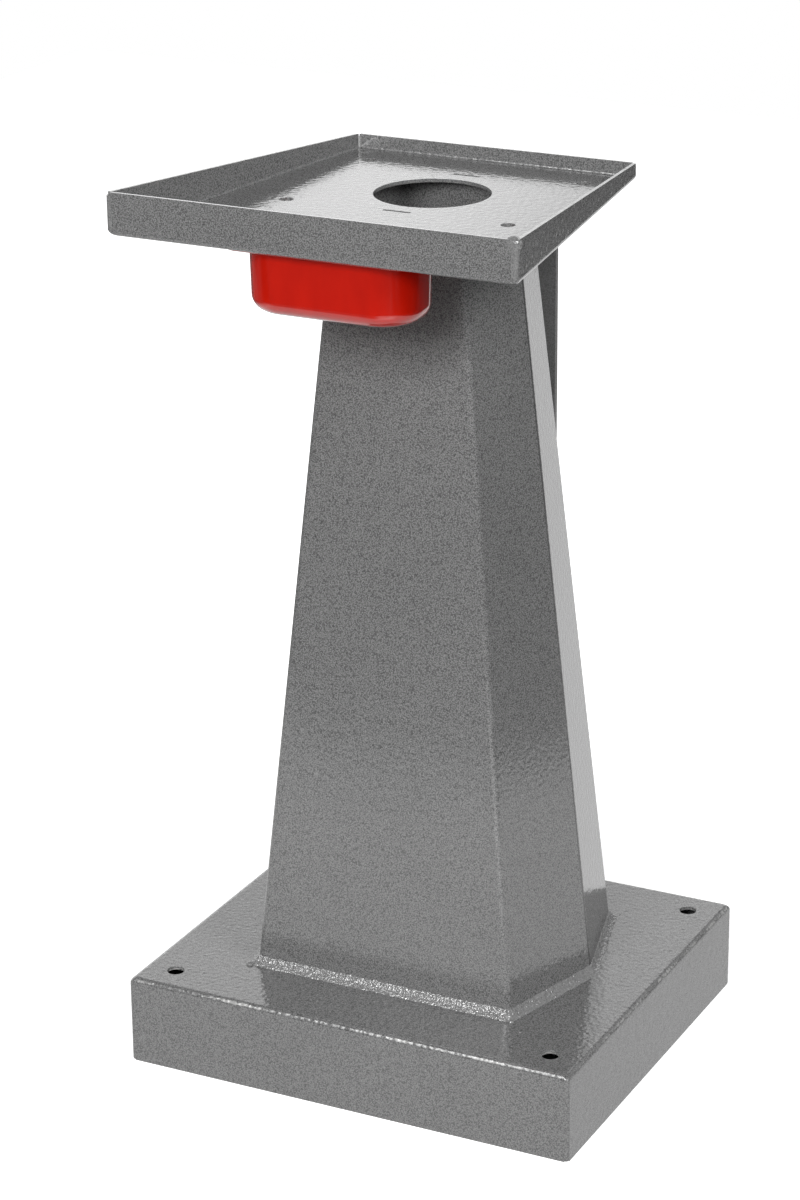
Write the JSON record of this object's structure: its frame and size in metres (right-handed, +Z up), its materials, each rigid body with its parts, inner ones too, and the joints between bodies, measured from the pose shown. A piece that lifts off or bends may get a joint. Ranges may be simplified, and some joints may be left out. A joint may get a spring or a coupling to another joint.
{
  "type": "bench grinder stand",
  "caption": "Welded sheet-steel pedestal for a bench grinder: folded base pan, tapered faceted column, folded tool tray with tapering lips and a slide-out water pot.",
  "frame": {"origin": "on the floor, under the centre of the column, which is the centre of the base", "axes": "+Z up, -Y towards the user, where the tray overhangs and the water pot slides out, +X to the right of a user who faces +Y"},
  "size_m": [0.42, 0.404, 0.796],
  "materials": {
    "hammertone_sheet": "semi-gloss grey hammertone",
    "painted_weld": "rough weld bead under grey hammertone paint",
    "red_moulding": "glossy red"
  },
  "bodies": {
    "stand": {"base_pan": "hammertone_sheet", "column_front_shell": "hammertone_sheet", "column_rear_shell": "hammertone_sheet", "tool_tray": "hammertone_sheet", "rear_stay": "hammertone_sheet", "pot_rail_left": "hammertone_sheet", "pot_rail_right": "hammertone_sheet", "base_corner_weld_front_left": "painted_weld", "base_corner_weld_front_right": "painted_weld", "base_corner_weld_rear_left": "painted_weld", "base_corner_weld_rear_right": "painted_weld", "column_seam_weld_left": "painted_weld", "column_seam_weld_right": "painted_weld", "column_foot_weld": "painted_weld", "column_head_weld": "painted_weld", "tray_corner_weld_front_left": "painted_weld", "tray_corner_weld_front_right": "painted_weld", "tray_corner_weld_rear_left": "painted_weld", "tray_corner_weld_rear_right": "painted_weld", "stay_foot_weld": "painted_weld", "stay_head_weld_left": "painted_weld", "stay_head_weld_right": "painted_weld"},
    "pot": {"water_pot": "red_moulding"}
  },
  "joints": [
    {"name": "pot_slide", "type": "slide", "parent": "stand", "child": "pot", "axis": [0, -1, 0], "range_m": [0, 0.06]}
  ]
}
